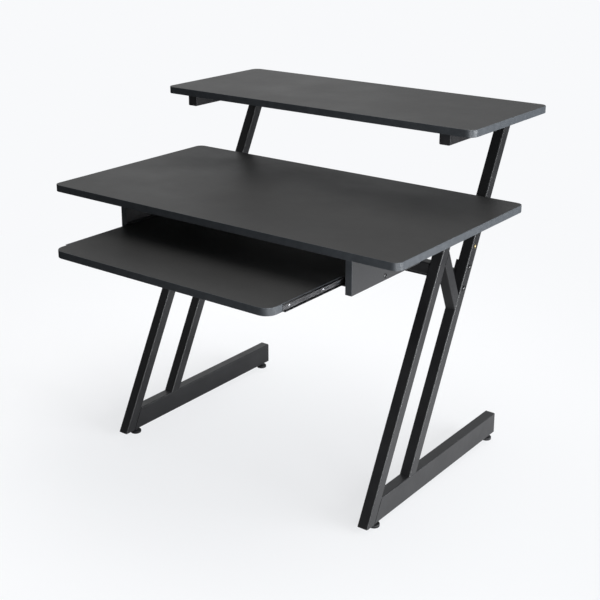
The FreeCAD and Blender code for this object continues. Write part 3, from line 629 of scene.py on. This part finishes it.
def channel(node, box, web_outside, sheet, bend):
    """A channel bent from sheet, a web and two flanges, that fills a box."""
    low, high = (corner / MM for corner in box)
    outer, inner = (high.x, low.x) if low.x > 0 else (low.x, high.x)
    web, edge = (outer, inner) if web_outside else (inner, outer)
    web += sheet / 2 if edge > web else -sheet / 2
    line = [(edge, low.z + sheet / 2), (web, low.z + sheet / 2),
            (web, high.z - sheet / 2), (edge, high.z - sheet / 2)]
    outline = [p * MM for p in bent_sheet(line, sheet, bend)]
    return make_mesh(node + "_fine", [extruded(outline, low.y * MM, high.y * MM)])


def member(node, web_outside, slots):
    """A slide member with slots punched in its web."""
    low, high = (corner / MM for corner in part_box(node))
    piece = channel(node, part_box(node), web_outside, SHEET, SHEET_BEND)
    z = (low.z + high.z) / 2
    across = (low.x - SHEET, high.x + SHEET)
    cut_out(piece, [moved(slot_cutter(y, z, long, tall, *across), Vector())
                    for y, long, tall in slots])
    wear(piece, SLOT_OF[node], body_of(node), node)


def spots(node, side):
    """Where along y the solids of a node on one side lie, in mm, from the front."""
    return sorted(middle(box).y / MM for box in islands(node) if side_of(box) == side)


BALL = 1.3
BALL_ROOM = 0.08
SHEET = 1.0
SHEET_BEND = 1.4
CAGE_SHEET = 0.6
CAGE_BEND = 0.8


def ball_row(balls, name, body):
    """A row of bright round balls at the middles of these boxes."""
    work = bmesh.new()
    for box in balls:
        bmesh.ops.create_icosphere(work, subdivisions=3, radius=BALL * MM,
                                   matrix=Matrix.Translation(middle(box)))
    mesh = bpy.data.meshes.new(name)
    work.to_mesh(mesh)
    work.free()
    mesh.shade_smooth()
    piece = bpy.data.objects.new(name, mesh)
    bpy.context.scene.collection.objects.link(piece)
    wear(piece, "ball_steel", body)


def ball_cage(node):
    """A dark retainer strip with pierced flanges, and its bright balls."""
    solids = islands(node)
    strip = max(solids, key=lambda box: box[1].y - box[0].y)
    balls = [box for box in solids if box is not strip]
    piece = channel(node, strip, True, CAGE_SHEET, CAGE_BEND)
    holes = {(round(middle(box).x, 5), round(middle(box).y, 5)) for box in balls}
    hole = [(strip[0].z / MM - 2.0, circle(BALL + BALL_ROOM)),
            (strip[1].z / MM + 2.0, circle(BALL + BALL_ROOM))]
    cut_out(piece, [moved(turned(hole, around=32), Vector((x, y, 0.0)))
                    for x, y in sorted(holes)])
    wear(piece, "slide_steel", body_of(node), node)
    ball_row(balls, node + "_balls", body_of(node))


# openings punched in the webs, each (length, height)
PANEL_SCREW_HOLE = (7.0, 7.0)
LONG_SLOT = (22.0, 6.0)
TRAY_SCREW_HOLE = (3.5, 3.5)
SPARE_HOLE = (4.5, 4.5)
SHORT_SLOT = (9.0, 3.6)
WIDE_SLOT = (16.0, 4.2)

for side, way in SIDES:
    screws = spots("slide_panel_screws", way)
    member("slide_cabinet_member_" + side, True,
           [(y, *PANEL_SCREW_HOLE) for y in screws]
           + [((a + b) / 2, *LONG_SLOT) for a, b in zip(screws, screws[1:])])

    first, second, third = spots("slide_tray_screws", way)
    member("slide_drawer_member_" + side, False,
           [(y, *TRAY_SCREW_HOLE) for y in (first, second, third)]
           + [(first + 19.0, *SPARE_HOLE), (second - 16.0, *SPARE_HOLE),
              (second + 15.0, *SHORT_SLOT), (third - 60.0, *WIDE_SLOT),
              (third + 14.0, *SPARE_HOLE)])
    ball_cage("slide_ball_cage_" + side)

# ---------------------------------------------------------------- light, floor and camera


def floor_material():
    """Pale studio paper, evenly bright to the eye, that takes only soft contact shadows."""
    n = Nodes("studio_floor")
    fibre = n.noise(180.0, 3.0)
    n.bump([(fibre, 0.04, 0.0002)])
    away = n.add("ShaderNodeVectorMath", operation="LENGTH")
    n.link(n.place, away.inputs[0])
    far = n.spread(away.outputs["Value"], 0.0, 1.0, *FLOOR_FADE)
    seen = n.add("ShaderNodeLightPath").outputs["Is Camera Ray"]
    split = n.add("ShaderNodeSeparateXYZ")
    n.link(n.place, split.inputs[0])
    toward_right = n.spread(split.outputs["X"], *FLOOR_LIGHT, *FLOOR_LIGHT_SPAN)
    light = n.product(toward_right, n.difference(1.0, far))
    thrown = n.product(light, n.difference(1.0, seen))
    near_glow = n.product(seen, FLOOR_GLOW)
    far_glow = n.product(n.product(far, seen), 1.0 - FLOOR_GLOW)
    glow = n.sum(n.sum(thrown, near_glow), far_glow)
    n.shader.inputs["Emission Color"].default_value = (*BACKDROP, 1.0)
    n.link(glow, n.shader.inputs["Emission Strength"])
    # painted shade: the paper darkens towards the right to cancel the right soft box's extra
    # light
    across = n.spread(split.outputs["X"], 0.0, 1.0, *FLOOR_SPAN)
    near = n.blend(across, FLOOR_LEFT, FLOOR_RIGHT)
    return n.set(color=n.blend(far, near, (0.0, 0.0, 0.0)),
                 rough=n.spread(fibre, 0.88, 0.95), level=0.0)


BACKDROP = (0.940, 0.948, 0.965)
FLOOR_HALF = 40.0
FLOOR_GLOW = 0.75
# the light that the floor throws up on the desk, from left to right over this span of x
FLOOR_LIGHT = (0.06, 0.70)
FLOOR_LIGHT_SPAN = (0.0, 0.6)
# how far from the desk's middle the floor starts and ends turning into the backdrop
FLOOR_FADE = (0.8, 2.4)
# the paper's colour, from left to right over this span of x, darker to the right as painted
# shade that cancels the right soft box's extra light on the floor
FLOOR_LEFT = (0.275, 0.277, 0.280)
FLOOR_RIGHT = (0.105, 0.106, 0.107)
FLOOR_SPAN = (-0.9, 1.1)

floor_mesh = bpy.data.meshes.new("studio_floor")
floor_mesh.from_pydata([(-FLOOR_HALF, -FLOOR_HALF, 0), (FLOOR_HALF, -FLOOR_HALF, 0),
                        (FLOOR_HALF, FLOOR_HALF, 0), (-FLOOR_HALF, FLOOR_HALF, 0)],
                       [], [(0, 1, 2, 3)])
floor = bpy.data.objects.new("studio_floor", floor_mesh)
floor.data.materials.append(floor_material())
bpy.context.scene.collection.objects.link(floor)


def backdrop(seen, lit, strength, front_strength):
    """An even pale surround; as a source of light it is dimmer, and dimmest in front."""
    world = bpy.data.worlds.new("studio")
    bpy.context.scene.world = world
    world.use_nodes = True
    nodes, links = world.node_tree.nodes, world.node_tree.links
    nodes.clear()
    out = nodes.new("ShaderNodeOutputWorld")
    mix = nodes.new("ShaderNodeMixShader")
    path = nodes.new("ShaderNodeLightPath")
    links.new(path.outputs["Is Camera Ray"], mix.inputs["Fac"])
    shades = []
    for k, color in enumerate((lit, seen), start=1):
        shade = nodes.new("ShaderNodeBackground")
        shade.inputs["Color"].default_value = (*color, 1.0)
        links.new(shade.outputs["Background"], mix.inputs[k])
        shades.append(shade)
    split = nodes.new("ShaderNodeSeparateXYZ")
    links.new(nodes.new("ShaderNodeTexCoord").outputs["Generated"], split.inputs[0])
    dim = nodes.new("ShaderNodeMapRange")
    for key, value in (("From Min", FRONT_FADE[0]), ("From Max", FRONT_FADE[1]),
                       ("To Min", front_strength), ("To Max", strength)):
        dim.inputs[key].default_value = value
    links.new(split.outputs["Y"], dim.inputs["Value"])
    links.new(dim.outputs["Result"], shades[0].inputs["Strength"])
    links.new(mix.outputs["Shader"], out.inputs["Surface"])


def soft_box(name, place, aim, width, height, power, color=(1.0, 1.0, 1.0), glossy=True):
    """A soft box out of the picture; without glossy it leaves no glare on shiny faces."""
    data = bpy.data.lights.new(name, "AREA")
    data.shape = "RECTANGLE"
    data.size, data.size_y = width, height
    data.energy = power
    data.color = color
    light = bpy.data.objects.new(name, data)
    light.location = place
    light.rotation_euler = (Vector(aim) - Vector(place)).to_track_quat("-Z", "Y").to_euler()
    light.visible_camera = False
    light.visible_glossy = glossy
    bpy.context.scene.collection.objects.link(light)


COOL = (0.96, 0.98, 1.0)
WARM = (1.0, 0.985, 0.96)

# how far back along y the surround reaches its full strength
FRONT_FADE = (-0.8, -0.1)

backdrop(seen=BACKDROP, lit=COOL, strength=0.41, front_strength=0.10)
soft_box("box_right", place=(3.6, 0.6, 1.3), aim=(0.0, 0.0, 0.5), width=2.6, height=2.4,
         power=225.0, color=COOL, glossy=False)
# low enough that the level boards, seen from the far side, don't mirror it
soft_box("box_low_right", place=(3.2, 0.7, 0.33), aim=(0.0, 0.0, 0.33), width=2.6,
         height=0.6, power=80.0, color=COOL)
soft_box("box_top", place=(0.4, 0.5, 3.6), aim=(0.1, 0.0, 0.5), width=3.0, height=2.4,
         power=88.0, color=WARM)
soft_box("box_rear_left", place=(-3.0, 3.0, 2.2), aim=(0.0, 0.0, 0.7), width=2.6,
         height=2.0, power=6.0)
soft_box("box_near_right", place=(1.5, -1.1, 0.6), aim=(0.3, 0.0, 0.65), width=0.8,
         height=0.6, power=15.0, color=COOL)

AIM = Vector((0.0, 0.067, 0.659))
AZIMUTH, ELEVATION = math.radians(37.27), math.radians(16.72)
DISTANCE = 3.071
LENS_MM = 68.53
# the horizon of the view lies above its middle, as in a corrected studio shot
SHIFT_Y = -0.1333

camera_data = bpy.data.cameras.new("camera")
camera_data.sensor_width = 36.0
camera_data.lens = LENS_MM
camera_data.shift_y = SHIFT_Y
camera = bpy.data.objects.new("camera", camera_data)
back = Vector((math.sin(AZIMUTH) * math.cos(ELEVATION),
               -math.cos(AZIMUTH) * math.cos(ELEVATION), math.sin(ELEVATION)))
camera.location = AIM + back * DISTANCE
camera.rotation_euler = back.to_track_quat("Z", "Y").to_euler()
bpy.context.scene.collection.objects.link(camera)
bpy.context.scene.camera = camera
bpy.context.scene.view_settings.view_transform = "Standard"
